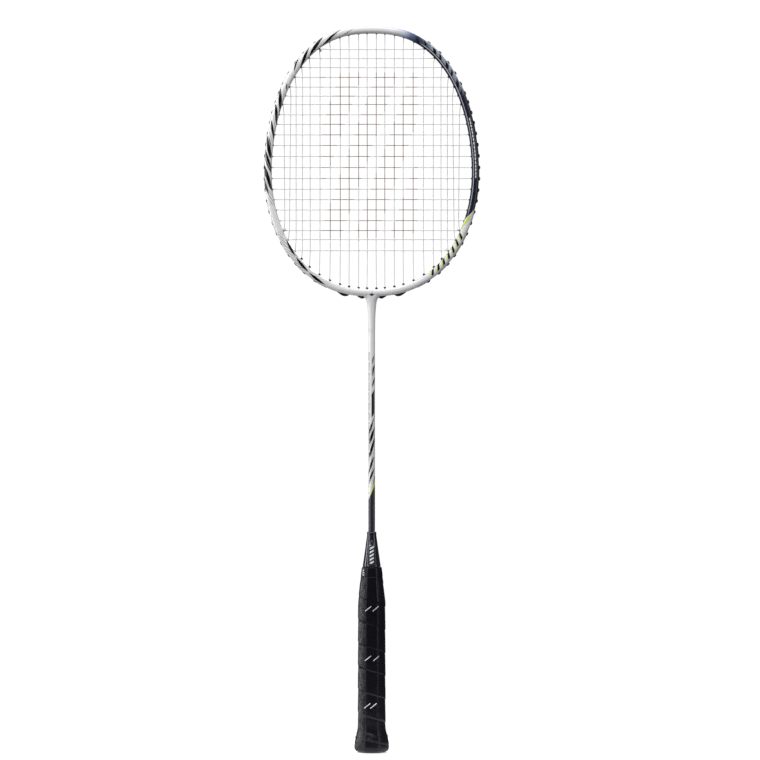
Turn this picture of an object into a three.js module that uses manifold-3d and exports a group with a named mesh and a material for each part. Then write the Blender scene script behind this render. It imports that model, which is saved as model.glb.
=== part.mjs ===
// A badminton racket: a hollow hoop strung with a woven bed, a slim tube shaft and an eight-sided handle.
// Millimetres. The origin is the centre of the butt's flat end, +Z runs along the shaft to the top of the head,
// +X runs across the head, and -Y is the front of the string bed.
import * as THREE from 'three';
import { mergeVertices } from 'three/addons/utils/BufferGeometryUtils.js';
import Module from 'manifold-3d';

const wasm = await Module();
wasm.setup();

// ---- Driving dimensions ----

// The hoop's centreline is a superellipse, blunter in its upper half than in its lower.
const HEAD_CENTRE_Z = 538.7;
const HEAD_HALF_WIDTH = 96.4;
const HEAD_RISE = 132.9;
const HEAD_DROP = 111.6;
const ROUNDNESS_ABOVE = 2.45;
const ROUNDNESS_BELOW = 2.3;
const RING_SEGMENTS = 60;

// The hoop's section, as [outward from the centreline, half depth], from the groove to the inner face.
const HOOP_SECTION = [[2.2, 1.9], [3.4, 2.6], [2.6, 4.5], [0.4, 5.3], [-2.2, 4.7], [-3.4, 2.4]];
const HOLLOW_SECTION = [[1.2, 2.6], [0.5, 4.2], [-1.6, 3.8], [-2.4, 2.0]];

// The drilling: the mains that have a hole to themselves, by their distance from the middle of the head, and
// the 21 crosses from the top down.
const MAIN_OFFSETS = [4.3, 12.2, 21.1, 29.4, 38.8, 48.5, 57.6, 65];
const CROSS_HEIGHTS = [
  653.4, 645, 636.6, 627.4, 618.4, 610, 602.2, 592.7, 583.8, 574,
  564.1, 553.9, 543.6, 533.4, 523.5, 513.8, 504.2, 494.2, 485, 476.6, 466.3,
];
const HOLES_PER_SIDE = 34;
const CENTRE_HOLE_LEAN = THREE.MathUtils.degToRad(22);

// Grommets, measured outward from the hoop's centreline.
const BARREL_RADIUS = 1.5;
const BARREL_BORE = 1.1;
const BARREL_TIP = -4.3;
const WEB_UNDERSIDE = 2.65;
const WEB_TOP = 3.1;
const DRILL_RADIUS = 1.85;
const WEB_WIDTH = 3.3;
const WEB_OVERHANG = 1.7;
const PAD_BULGE = 2.3;
const PAD_CHANNEL = 1.8;

// Strings.
const STRING_RADIUS = 0.39;
const MOUTH_BEND = BARREL_TIP - 0.6;
const GROOVE_RUN = 3.7;
const STRAND_OFFSET = 0.5;
const BED_ENTRY = 5;
const WEAVE_HEIGHT = 1.1;

// Shaft and throat.
const SHAFT_RADIUS = 3.2;
const SHAFT_BORE = 1.8;
const SHAFT_FOOT_Z = 95;
const SHAFT_TOP_Z = 392;
const SPIGOT_RADIUS = 2.6;
const SPIGOT_TOP_Z = 422;
const STEM_RADIUS = 1.5;
const STEM_FOOT_Z = 372;
const JOINT_BAR = { length: 32, depth: 6, bottomZ: 427, topZ: 428.8 };
const FIT_GAP = 0.3;

// Handle, as half widths across the flats; its depth is a fixed share of its width.
const HANDLE_DEPTH_SHARE = 0.9;
const CORE_PROFILE = [
  [2.9, 13.3], [6, 13.3], [15, 12], [24, 10.2], [140, 10.2], [150, 9.3], [163, 8.2], [171, 7.9],
];
const GRIP_PROFILE = [[0.8, 15.2], [3, 16.3], [6, 16.4], [14, 14.9], [22, 12.9], [140, 12.75], [149, 11.7], [163, 10.3]];
const GRIP_TOP_Z = 163;
const TAPE_TOP_Z = 172;
const NECK_RADIUS = 5.2;
const NECK_TOP_Z = 180;
const CONE_PROFILE = [[172.4, 8.25], [173.6, 8.2], [184, 6.75], [195, 5.35], [204, 4.05], [205, 3.85]];
const PANEL_PLANED = 0.62;
const CAP_HALF_WIDTH = 13.3;
const CAP_THICKNESS = 2.6;

// Cuts leave slivers thinner than this, which are merged away.
const MESH_TOLERANCE = 0.02;

// ---- Solids and meshes ----

function solid(geometry) {
  const bare = geometry.clone();
  bare.deleteAttribute('normal');
  bare.deleteAttribute('uv');
  const merged = mergeVertices(bare, 1e-4);
  return new wasm.Manifold(new wasm.Mesh({
    numProp: 3,
    vertProperties: merged.attributes.position.array,
    triVerts: new Uint32Array(merged.index.array),
  }));
}

function geometryOf(manifold) {
  const { vertProperties, triVerts } = manifold.simplify(MESH_TOLERANCE).getMesh();
  const geometry = new THREE.BufferGeometry();
  geometry.setAttribute('position', new THREE.BufferAttribute(vertProperties, 3));
  geometry.setIndex(new THREE.BufferAttribute(triVerts, 1));
  geometry.computeVertexNormals();
  return geometry;
}

const racket = new THREE.Group();

function addPiece(name, geometry, { color, roughness, metalness = 0 }) {
  const mesh = new THREE.Mesh(geometry, new THREE.MeshStandardMaterial({ color, roughness, metalness }));
  mesh.name = name;
  racket.add(mesh);
}

// A solid of revolution about Z from [z, radius] points that start and end on the axis or close on themselves.
function turned(points, segments, phase = 0) {
  const profile = points.map(([z, radius]) => new THREE.Vector2(radius, z));
  return new THREE.LatheGeometry(profile, segments, phase).rotateX(Math.PI / 2);
}

function rod(radius, fromZ, toZ, segments) {
  const height = toZ - fromZ;
  const cylinder = new THREE.CylinderGeometry(radius, radius, height, segments);
  return cylinder.rotateX(Math.PI / 2).translate(0, 0, (fromZ + toZ) / 2);
}

// ---- The hoop's outline and its drilling ----

function outlineFrame(angle) {
  const upper = Math.sin(angle) >= 0;
  const rise = upper ? HEAD_RISE : HEAD_DROP;
  const roundness = upper ? ROUNDNESS_ABOVE : ROUNDNESS_BELOW;
  const across = Math.abs(Math.cos(angle)) ** (2 / roundness);
  const side = Math.sign(Math.cos(angle));
  const point = new THREE.Vector3(
    side * HEAD_HALF_WIDTH * across,
    0,
    HEAD_CENTRE_Z + rise * Math.sin(angle),
  );
  const normal = new THREE.Vector3(
    (side * roundness * across ** (roundness - 1)) / HEAD_HALF_WIDTH,
    0,
    (2 * Math.sin(angle)) / rise,
  ).normalize();
  return { point, normal };
}

// The hoop is a ring of straight segments, so a place on it lies on the chord between two outline points.
function hoopFrame(angle) {
  const step = (2 * Math.PI) / RING_SEGMENTS;
  const index = Math.floor(angle / step);
  const share = angle / step - index;
  const start = outlineFrame(index * step);
  const end = outlineFrame((index + 1) * step);
  return {
    point: start.point.lerp(end.point, share),
    normal: start.normal.lerp(end.normal, share).normalize(),
  };
}

function hoopPoint(angle, outward, y) {
  const { point, normal } = hoopFrame(angle);
  return point.addScaledVector(normal, outward).setY(y);
}

// Bisection for the angle where a rising measure reaches zero.
function angleWhere(low, high, measure) {
  let [from, to] = [low, high];
  while (to - from > 1e-9) {
    const middle = (from + to) / 2;
    if (measure(middle) < 0) from = middle;
    else to = middle;
  }
  return from;
}

// Holes are numbered from 1 beside the top centre to 34 beside the throat. Mains use 1 to 10 and 12 at the
// top and 24 to 34 at the bottom, and crosses use 6 to 26, so nine holes a side carry two strands. A loop of
// the mains passes over hole 11, so the cross in it lies to one side as well.
const topHoleOfMain = (main) => (main <= 10 ? main : 12);
const bottomHoleOfMain = (main) => 35 - main;
const holeOfCross = (cross) => cross + 5;
const hasTwoStrands = (number) => (number >= 6 && number <= 12) || (number >= 24 && number <= 26);

function holeAngle(number) {
  const mouth = (angle) => hoopPoint(angle, BARREL_TIP, 0);
  const quarter = Math.PI / 2;
  if (number <= 5) return angleWhere(0, quarter, (angle) => MAIN_OFFSETS[number - 1] - mouth(angle).x);
  if (number >= 27) return angleWhere(-quarter, 0, (angle) => mouth(angle).x - MAIN_OFFSETS[34 - number]);
  return angleWhere(-quarter, quarter, (angle) => mouth(angle).z - CROSS_HEIGHTS[number - 6]);
}

function makeHole(number, side) {
  const angle = holeAngle(number);
  const lean = number === HOLES_PER_SIDE ? CENTRE_HOLE_LEAN : 0;
  const mirror = new THREE.Vector3(side, 1, 1);
  const upright = new THREE.Vector3(0, 1, 0);
  const tip = hoopPoint(angle, BARREL_TIP, 0).multiply(mirror);
  const axis = hoopFrame(angle).normal.applyAxisAngle(upright, -lean).multiply(mirror);
  const at = (outward, y = 0) => tip.clone().addScaledVector(axis, (outward - BARREL_TIP) / Math.cos(lean)).setY(y);
  return { number, at, axis };
}

const rightHoles = [];
const leftHoles = [];
for (let number = 1; number <= HOLES_PER_SIDE; number += 1) {
  rightHoles[number] = makeHole(number, 1);
  leftHoles[number] = makeHole(number, -1);
}
const allHoles = [...rightHoles, ...leftHoles].filter(Boolean);

// A six-sided rod along a hole's axis, with a corner of its section to the front and the back.
function rodInHole(hole, radius, from, to) {
  const length = hole.at(from).distanceTo(hole.at(to));
  const front = new THREE.Vector3(0, 1, 0);
  const along = new THREE.Vector3().crossVectors(hole.axis, front);
  const place = new THREE.Matrix4().makeBasis(along, hole.axis, front);
  place.setPosition(hole.at((from + to) / 2));
  return solid(new THREE.CylinderGeometry(radius, radius, length, 6).applyMatrix4(place));
}

const drills = allHoles.map((hole) => rodInHole(hole, DRILL_RADIUS, BARREL_TIP - 1, WEB_TOP + 6));

// ---- Head frame and throat ----

function hoopRing(halfSection) {
  const front = halfSection.map(([outward, y]) => [outward, -y]).reverse();
  const section = [...halfSection, ...front, halfSection[0]];
  const workingRadius = HEAD_HALF_WIDTH;
  const profile = section.map(([outward, y]) => new THREE.Vector2(workingRadius + outward, y));
  const ring = new THREE.LatheGeometry(profile, RING_SEGMENTS);
  const { position } = ring.attributes;
  for (let i = 0; i < position.count; i += 1) {
    const [x, y, z] = [position.getX(i), position.getY(i), position.getZ(i)];
    const bent = hoopPoint(Math.atan2(z, x), Math.hypot(x, z) - workingRadius, y);
    position.setXYZ(i, bent.x, bent.y, bent.z);
  }
  return solid(ring);
}

function headFrame() {
  const throat = solid(turned([
    [SHAFT_TOP_Z, 0], [SHAFT_TOP_Z, SHAFT_RADIUS], [398, 3.3], [407, 3.55], [413, 3.9],
    [418, 4.4], [421, 4.85], [424.5, 5.4], [427.5, 5.4], [427.5, 0],
  ], 16));
  const spigotBore = solid(rod(SPIGOT_RADIUS + FIT_GAP, SHAFT_TOP_Z - 1, 426.3, 12));
  let frame = hoopRing(HOOP_SECTION).add(throat).subtract(hoopRing(HOLLOW_SECTION)).subtract(spigotBore);
  for (const drill of drills) frame = frame.subtract(drill);
  return geometryOf(frame);
}

function tJoint() {
  const { length, depth, bottomZ, topZ } = JOINT_BAR;
  const bar = new THREE.BoxGeometry(length, depth, topZ - bottomZ).translate(0, 0, (bottomZ + topZ) / 2);
  let joint = solid(bar).add(solid(rod(STEM_RADIUS, STEM_FOOT_Z, bottomZ + 0.5, 8)));
  for (const drill of drills) joint = joint.subtract(drill);
  return geometryOf(joint);
}

function shaft() {
  const tube = [
    [SHAFT_FOOT_Z, SHAFT_BORE], [SHAFT_FOOT_Z, SHAFT_RADIUS],
    [SHAFT_TOP_Z - FIT_GAP, SHAFT_RADIUS], [SHAFT_TOP_Z - FIT_GAP, SPIGOT_RADIUS],
    [SPIGOT_TOP_Z, SPIGOT_RADIUS], [SPIGOT_TOP_Z, SHAFT_BORE],
  ];
  return turned([...tube, tube[0]], 16);
}

// ---- Grommets ----

const WEB_MIDDLE = (WEB_UNDERSIDE + WEB_TOP) / 2;

// A bar along the groove from one hole to another, between two distances outward.
function barOver(holes, from, to, width, overhang) {
  const middle = (from + to) / 2;
  const [first, last] = [holes[0], holes.at(-1)];
  const ends = [first.at(middle), last.at(middle)];
  const outward = first.axis.clone().add(last.axis);
  const chord = ends[1].clone().sub(ends[0]);
  if (chord.length() > 0) outward.addScaledVector(chord, -outward.dot(chord) / chord.lengthSq());
  outward.normalize();
  const front = new THREE.Vector3(0, 1, 0);
  const along = new THREE.Vector3().crossVectors(outward, front);
  const place = new THREE.Matrix4().makeBasis(along, outward, front);
  place.setPosition(ends[0].lerp(ends[1], 0.5));
  return new THREE.BoxGeometry(chord.length() + 2 * overhang, to - from, width).applyMatrix4(place);
}

function withBarrels(strip, holes) {
  let grommet = strip;
  for (const hole of holes) grommet = grommet.add(rodInHole(hole, BARREL_RADIUS, BARREL_TIP, WEB_MIDDLE));
  for (const hole of holes) grommet = grommet.subtract(rodInHole(hole, BARREL_BORE, BARREL_TIP - 1, WEB_TOP + 4));
  return geometryOf(grommet);
}

function grommet(holes) {
  return withBarrels(solid(barOver(holes, WEB_UNDERSIDE, WEB_TOP, WEB_WIDTH, WEB_OVERHANG)), holes);
}

// A throat pad is a twin grommet whose web swells into a lens, with a channel for the string loop.
function throatPad(holes) {
  const ends = [holes[0].at(WEB_UNDERSIDE), holes[1].at(WEB_UNDERSIDE)];
  const along = ends[1].clone().sub(ends[0]).normalize();
  ends[0].addScaledVector(along, -WEB_OVERHANG);
  ends[1].addScaledVector(along, WEB_OVERHANG);
  const outward = holes[0].axis.clone().add(holes[1].axis);
  outward.addScaledVector(along, -outward.dot(along)).normalize();
  const outline = [ends[1], ends[0]];
  for (let share = 0; share <= 1; share += 0.125) {
    const height = WEB_TOP - WEB_UNDERSIDE + PAD_BULGE * Math.sin(Math.PI * share) ** 0.8;
    outline.push(ends[0].clone().lerp(ends[1], share).addScaledVector(outward, height));
  }
  const shape = new THREE.Shape(outline.map((point) => new THREE.Vector2(point.x, point.z)));
  const lens = new THREE.ExtrudeGeometry(shape, { depth: WEB_WIDTH, bevelEnabled: false });
  lens.rotateX(Math.PI / 2).translate(0, WEB_WIDTH / 2, 0);
  const channel = barOver(holes, WEB_TOP, WEB_TOP + 6, PAD_CHANNEL, 4 * WEB_OVERHANG);
  return withBarrels(solid(lens).subtract(solid(channel)), holes);
}

// ---- Strings ----

// A path through given points: one extrusion step between each point and the next.
class Route extends THREE.Curve {
  constructor(points) {
    super();
    this.points = points;
  }

  getPoint(share, target = new THREE.Vector3()) {
    return target.copy(this.points[Math.round(share * (this.points.length - 1))]);
  }

  getPointAt(share, target) {
    return this.getPoint(share, target);
  }

  getTangentAt(share, target = new THREE.Vector3()) {
    const last = this.points.length - 1;
    const index = Math.round(share * last);
    const here = this.points[index];
    const arriving = here.clone().sub(this.points[Math.max(index - 1, 0)]).normalize();
    const leaving = this.points[Math.min(index + 1, last)].clone().sub(here).normalize();
    return target.addVectors(arriving, leaving).normalize();
  }
}

function stringAlong(points) {
  const r = STRING_RADIUS;
  const section = new THREE.Shape([[r, 0], [0, r], [-r, 0], [0, -r]].map(([x, y]) => new THREE.Vector2(x, y)));
  return new THREE.ExtrudeGeometry(section, { steps: points.length - 1, extrudePath: new Route(points) });
}

// Which face of the bed a cross passes on at a main, with the mains numbered from 0 at the far left.
const weaveFace = (mainIndex, cross) => ((mainIndex + cross) % 2 === 0 ? 1 : -1);

// Where a strand lies in its hole, front to back: the two strands of a shared hole lie apart, and a cross
// that has its hole to itself leans to the face on which it passes the outermost main.
const mainStrandY = (number) => (hasTwoStrands(number) ? STRAND_OFFSET : 0);
const crossStrandY = (outermostMain) => (number) => {
  if (hasTwoStrands(number)) return -STRAND_OFFSET;
  return STRAND_OFFSET * weaveFace(outermostMain, number - 5);
};

// Out through one hole, along the groove over any hole between, and back in through the other.
function grooveLoop(holes, from, to, strandY) {
  const points = [holes[from].at(MOUTH_BEND, strandY(from))];
  const step = Math.sign(to - from);
  for (let number = from; number !== to + step; number += step) {
    const y = number === 11 ? strandY(from) : strandY(number);
    points.push(holes[number].at(GROOVE_RUN, y));
  }
  points.push(holes[to].at(MOUTH_BEND, strandY(to)));
  return points;
}

// A main that lies to one side in a shared hole comes to the bed's middle plane just inside the mouth.
function bedEntry(hole, atTop) {
  if (!hasTwoStrands(hole.number)) return [];
  return [hole.at(MOUTH_BEND).add(new THREE.Vector3(0, 0, atTop ? -BED_ENTRY : BED_ENTRY))];
}

// The mains run from the lower end of the outermost on the right to the lower end of the outermost on the
// left, joined in pairs over the top and under the bottom.
function mainString() {
  const half = (holes) => {
    const end = holes[bottomHoleOfMain(11)];
    const points = [end.at(GROOVE_RUN, STRAND_OFFSET), end.at(MOUTH_BEND, STRAND_OFFSET), ...bedEntry(end, false)];
    for (let main = 11; main > 1; main -= 1) {
      const atTop = main % 2 === 1;
      const holeOf = atTop ? topHoleOfMain : bottomHoleOfMain;
      const [from, to] = [holeOf(main), holeOf(main - 1)];
      points.push(...bedEntry(holes[from], atTop));
      points.push(...grooveLoop(holes, from, to, mainStrandY));
      points.push(...bedEntry(holes[to], atTop));
    }
    points.push(holes[1].at(MOUTH_BEND), holes[1].at(GROOVE_RUN));
    return points;
  };
  return stringAlong([...half(rightHoles), ...half(leftHoles).reverse()]);
}

// Each main as the straight line between its two mouths, from the leftmost to the rightmost.
const mainLines = [];
for (const holes of [leftHoles, rightHoles]) {
  for (let main = 1; main <= 11; main += 1) {
    const top = holes[topHoleOfMain(main)].at(MOUTH_BEND);
    const bottom = holes[bottomHoleOfMain(main)].at(MOUTH_BEND);
    mainLines.push({ top, bottom });
  }
}
mainLines.sort((a, b) => a.top.x - b.top.x);

// The points where a cross passes over or under the mains, from left to right.
function wovenPoints(cross) {
  const z = CROSS_HEIGHTS[cross - 1];
  const points = [];
  mainLines.forEach(({ top, bottom }, index) => {
    const clearOfEnds = z < top.z - 3 && z > bottom.z + 3;
    if (!clearOfEnds) return;
    const point = bottom.clone().lerp(top, (z - bottom.z) / (top.z - bottom.z));
    points.push(point.setY(weaveFace(index, cross) * WEAVE_HEIGHT));
  });
  return points;
}

function crossString() {
  const first = leftHoles[holeOfCross(1)];
  const last = rightHoles[holeOfCross(21)];
  const points = [first.at(GROOVE_RUN, -STRAND_OFFSET), first.at(MOUTH_BEND, -STRAND_OFFSET)];
  for (let cross = 1; cross <= 21; cross += 1) {
    const rightwards = cross % 2 === 1;
    points.push(...(rightwards ? wovenPoints(cross) : wovenPoints(cross).reverse()));
    const holes = rightwards ? rightHoles : leftHoles;
    const strandY = crossStrandY(rightwards ? mainLines.length - 1 : 0);
    const from = holeOfCross(cross);
    if (cross < 21) points.push(...grooveLoop(holes, from, from + 1, strandY));
  }
  points.push(last.at(MOUTH_BEND, -STRAND_OFFSET), last.at(GROOVE_RUN, -STRAND_OFFSET));
  return stringAlong(points);
}

// ---- Handle ----

const widened = (profile, by) => profile.map(([z, halfWidth]) => [z, halfWidth + by]);

// An eight-sided solid with flats to the front and sides, from half widths across the flats.
function eightSided(profile) {
  const corner = 1 / Math.cos(Math.PI / 8);
  const points = profile.map(([z, halfWidth]) => [z, halfWidth * corner]);
  return turned(points, 8, Math.PI / 8).scale(1, HANDLE_DEPTH_SHARE, 1);
}

function handleCore() {
  const bottom = CORE_PROFILE[0][0];
  const top = CORE_PROFILE.at(-1)[0];
  const body = solid(eightSided([[bottom, 0], ...CORE_PROFILE, [top, 0]]));
  const neck = solid(rod(NECK_RADIUS, top - 1, NECK_TOP_Z, 12));
  const bore = solid(rod(SHAFT_RADIUS + FIT_GAP, bottom - 1, NECK_TOP_Z + 1, 12));
  return geometryOf(body.add(neck).subtract(bore));
}

function gripWrap() {
  const lining = widened(CORE_PROFILE.filter(([z]) => z <= GRIP_TOP_Z), FIT_GAP).reverse();
  lining[lining.length - 1] = [GRIP_PROFILE[0][0], CAP_HALF_WIDTH + FIT_GAP];
  return eightSided([...GRIP_PROFILE, ...lining, GRIP_PROFILE[0]]);
}

function finishingTape() {
  const bottom = GRIP_TOP_Z + FIT_GAP;
  const section = [[bottom, 8.55], [bottom, 10.3], [TAPE_TOP_Z - 0.6, 9.5], [TAPE_TOP_Z, 9.2], [TAPE_TOP_Z, 8.3]];
  return eightSided([...section, section[0]]);
}

// A cone round the top of the core, with a flat panel planed off its front and its back.
function coneCap() {
  const [foot, head] = [CONE_PROFILE[0], CONE_PROFILE.at(-1)];
  const body = solid(turned([[foot[0], 0], ...CONE_PROFILE, [head[0], 0]], 24));
  const shaftBore = solid(rod(SHAFT_RADIUS + FIT_GAP, foot[0] - 1, head[0] + 1, 16));
  const neckBore = solid(rod(NECK_RADIUS + 1.5 * FIT_GAP, foot[0] - 1, NECK_TOP_Z + FIT_GAP, 12));
  let cone = body.subtract(shaftBore).subtract(neckBore);
  const slope = Math.atan((CONE_PROFILE[1][1] - CONE_PROFILE[3][1]) / (CONE_PROFILE[3][0] - CONE_PROFILE[1][0]));
  for (const side of [-1, 1]) {
    const thickness = 10;
    const panelY = CONE_PROFILE[1][1] - PANEL_PLANED;
    const planer = new THREE.BoxGeometry(30, thickness, 90).translate(0, side * (thickness / 2 + panelY), 0);
    planer.rotateX(side * slope).translate(0, 0, CONE_PROFILE[1][0]);
    cone = cone.subtract(solid(planer));
  }
  return geometryOf(cone);
}

function buttCap() {
  const spigot = SHAFT_RADIUS - FIT_GAP;
  return eightSided([
    [0, 0], [0, CAP_HALF_WIDTH - 0.8], [0.8, CAP_HALF_WIDTH], [CAP_THICKNESS, CAP_HALF_WIDTH],
    [CAP_THICKNESS, spigot], [12, spigot], [12, 0],
  ]);
}

// ---- The racket ----

const blackPlastic = { color: '#17171a', roughness: 0.45 };

addPiece('head_frame', headFrame(), { color: '#e9eaec', roughness: 0.22 });
addPiece('t_joint', tJoint(), { color: '#3a3b3f', roughness: 0.6 });
addPiece('shaft', shaft(), { color: '#e4e5e8', roughness: 0.2 });
addPiece('cone_cap', coneCap(), { color: '#1b1b20', roughness: 0.3 });
addPiece('handle_core', handleCore(), { color: '#b98d5a', roughness: 0.7 });
addPiece('finishing_tape', finishingTape(), { color: '#1c1c1f', roughness: 0.55 });
addPiece('grip_wrap', gripWrap(), { color: '#141417', roughness: 0.75 });
addPiece('butt_cap', buttCap(), { color: '#1a1a1c', roughness: 0.6 });
addPiece('main_string', mainString(), { color: '#d6d7d9', roughness: 0.4 });
addPiece('cross_string', crossString(), { color: '#cfd0d3', roughness: 0.4 });
addPiece('grommet_top_centre', grommet([leftHoles[1], rightHoles[1]]), blackPlastic);
for (const [side, holes] of [['left', leftHoles], ['right', rightHoles]]) {
  for (let number = 2; number <= 28; number += 2) {
    const name = `grommet_${side}_${String(number).padStart(2, '0')}`;
    addPiece(name, grommet([holes[number], holes[number + 1]]), blackPlastic);
  }
  addPiece(`grommet_${side}_30`, grommet([holes[30]]), blackPlastic);
  addPiece(`throat_pad_outer_${side}`, throatPad([holes[31], holes[32]]), blackPlastic);
  addPiece(`throat_pad_inner_${side}`, throatPad([holes[33], holes[34]]), blackPlastic);
}

export default racket;
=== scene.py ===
"""A badminton racket: painted head frame, woven strings, grommets, shaft, cone, tape, grip and butt.

Shapes are worked out in millimetres, in the CAD frame: origin at the middle of the butt, Z up the shaft,
X across the head, the front face towards -Y.
"""
import math

import bmesh
import bpy
import numpy as np
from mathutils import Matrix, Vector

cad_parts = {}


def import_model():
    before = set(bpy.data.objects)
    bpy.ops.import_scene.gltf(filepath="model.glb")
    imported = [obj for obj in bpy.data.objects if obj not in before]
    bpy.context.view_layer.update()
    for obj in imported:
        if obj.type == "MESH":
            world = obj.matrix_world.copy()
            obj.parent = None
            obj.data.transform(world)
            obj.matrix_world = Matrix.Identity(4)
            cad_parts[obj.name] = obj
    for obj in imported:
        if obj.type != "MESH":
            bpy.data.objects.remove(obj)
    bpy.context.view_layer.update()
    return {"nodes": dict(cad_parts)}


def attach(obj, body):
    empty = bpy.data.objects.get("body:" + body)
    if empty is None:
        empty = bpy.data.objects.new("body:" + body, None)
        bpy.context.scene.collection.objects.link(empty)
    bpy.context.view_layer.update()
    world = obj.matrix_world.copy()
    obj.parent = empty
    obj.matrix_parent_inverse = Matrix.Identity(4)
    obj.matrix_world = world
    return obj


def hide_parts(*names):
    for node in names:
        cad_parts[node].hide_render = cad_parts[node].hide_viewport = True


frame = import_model()

MM = 0.001

# ---- Sizes, in millimetres ----

# The outline and the drilling are the CAD's. The strings, shaft and webs are slightly slimmer than there.

HEAD_CENTRE_Z = 538.7
HEAD_HALF_WIDTH = 96.4
HEAD_RISE, HEAD_DROP = 132.9, 111.6
ROUNDNESS_ABOVE, ROUNDNESS_BELOW = 2.45, 2.3
MAIN_OFFSETS = [4.3, 12.2, 21.1, 29.4, 38.8, 48.5, 57.6, 65]
CROSS_HEIGHTS = [
    653.4, 645, 636.6, 627.4, 618.4, 610, 602.2, 592.7, 583.8, 574, 564.1,
    553.9, 543.6, 533.4, 523.5, 513.8, 504.2, 494.2, 485, 476.6, 466.3,
]
FIRST_CROSS_HOLE, FIRST_THROAT_HOLE, LAST_HOLE = 6, 27, 34
SHARED_HOLES = {6, 7, 8, 9, 10, 12, 24, 25, 26}  # a main and a cross pass through these
CENTRE_HOLE_LEAN = math.radians(22)
BARREL_TIP = -4.3
MOUTH_BEND = -4.9
GROOVE_FLOOR = 2.2
WEB_TOP, PAD_BULGE = 3.0, 2.7
STRING_RADIUS = 0.35
WEAVE = 0.36
STRAND_OFFSET = 0.42
LONE_CROSS_OFFSET = 0.16
CLEAR_OF_ENDS = 3
HANDLE_DEPTH_SHARE = 0.9
SHAFT_RADIUS, SHAFT_BORE = 3.06, 1.8
SHAFT_FOOT_Z, SHAFT_TOP_Z = 95, 392
SPIGOT_RADIUS, SPIGOT_TOP_Z = 2.6, 422
GRIP_TOP_Z = 163
WRAP_PITCH, SEAM_TURN = 21.6, 0.985


def srgb(red, green, blue):
    """A display colour, 0 to 255, as linear light."""
    parts = [c / 255 for c in (red, green, blue)]
    return tuple(c / 12.92 if c <= 0.04045 else ((c + 0.055) / 1.055) ** 2.4 for c in parts)


WHITE = srgb(238, 238, 239)
INK = srgb(10, 10, 15)
NAVY = srgb(30, 32, 46)
PALE_BLUE = srgb(196, 204, 220)
NEON = srgb(206, 224, 48)
GREY = srgb(120, 122, 128)

# ---- Meshes ----


def full_turn(sides):
    return np.arange(sides) * 2 * np.pi / sides


def ring(angles, width, depth, z):
    """Points round an ellipse at a height, from its half width and half depth."""
    return np.stack([width * np.cos(angles), depth * np.sin(angles), np.full(len(angles), z)], -1)


def clock(angles):
    """The turn from the front face, in radians, + towards +X."""
    return np.arctan2(np.cos(angles), -np.sin(angles))


class Shape:
    """Collects grids of points into one mesh, with values kept on its points."""

    def __init__(self):
        self.points, self.faces, self.values = [], [], {}
        self.count = 0

    def grid(self, rows, wrap_rows=False, caps=False, **values):
        """Closed rows of points, each joined to the next row, and the last to the first if they wrap."""
        rows = np.asarray(rows, float)
        high, wide, _ = rows.shape
        index = self.count + np.arange(high * wide).reshape(high, wide)
        here = index if wrap_rows else index[:-1]
        above = np.roll(index, -1, 0) if wrap_rows else index[1:]
        quads = np.stack([here, np.roll(here, -1, 1), np.roll(above, -1, 1), above], -1)
        self.faces.extend(quads.reshape(-1, 4).tolist())
        if caps:
            self.faces.append(index[0][::-1].tolist())
            self.faces.append(index[-1].tolist())
        self.points.append(rows.reshape(-1, 3))
        self.count += high * wide
        for name, value in values.items():
            flat = np.broadcast_to(value, (high, wide)).reshape(-1)
            self.values.setdefault(name, []).append(flat)
        return self

    def build(self, name):
        mesh = bpy.data.meshes.new(name)
        mesh.from_pydata(np.concatenate(self.points) * MM, [], self.faces)
        for label, parts in self.values.items():
            layer = mesh.attributes.new(label, "FLOAT", "POINT")
            layer.data.foreach_set("value", np.concatenate(parts).astype(np.float32))
        mesh.validate()
        turned = bmesh.new()
        turned.from_mesh(mesh)
        bmesh.ops.recalc_face_normals(turned, faces=turned.faces)
        turned.to_mesh(mesh)
        turned.free()
        mesh.shade_smooth()
        obj = bpy.data.objects.new(name, mesh)
        bpy.context.scene.collection.objects.link(obj)
        return obj


def through(points, steps, closed=False):
    """A smooth curve through points, with the given number of steps between neighbours."""
    points = np.asarray(points, float)
    if closed:
        padded = np.vstack([points[-1:], points, points[:2]])
    else:
        padded = np.vstack([2 * points[:1] - points[1:2], points, 2 * points[-1:] - points[-2:-1]])
    shares = np.arange(steps) / steps
    curve = []
    for a, b, c, d in zip(padded, padded[1:], padded[2:], padded[3:]):
        square, cube = 2 * a - 5 * b + 4 * c - d, 3 * b - a - 3 * c + d
        curve += [0.5 * (2 * b + (c - a) * t + square * t**2 + cube * t**3) for t in shares]
    if not closed:
        curve.append(points[-1])
    return np.array(curve)


def round_corners(points, times):
    """Cuts the corners off an open path, keeping its ends."""
    points = np.asarray(points, float)
    for _ in range(times):
        near = 0.75 * points[:-1] + 0.25 * points[1:]
        far = 0.25 * points[:-1] + 0.75 * points[1:]
        middle = np.stack([near, far], 1).reshape(-1, 3)
        points = np.vstack([points[:1], middle[1:-1], points[-1:]])
    return points


def tube(shape, path, radius, sides=10):
    """A round tube along a path, its section turned as little as possible from point to point."""
    path = np.asarray(path, float)
    steps = np.diff(path, axis=0)
    steps /= np.linalg.norm(steps, axis=1)[:, None]
    tangents = np.vstack([steps[:1], steps[:-1] + steps[1:], steps[-1:]])
    tangents /= np.linalg.norm(tangents, axis=1)[:, None]
    across = np.cross(tangents[0], [0.31, 0.52, 0.79])
    angles = full_turn(sides)
    rows = []
    for point, tangent in zip(path, tangents):
        across = across - tangent * across.dot(tangent)
        across /= np.linalg.norm(across)
        up = np.cross(tangent, across)
        rows.append(point + radius * (np.outer(np.cos(angles), across) + np.outer(np.sin(angles), up)))
    shape.grid(rows, caps=True)


# ---- The hoop's outline ----


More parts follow.
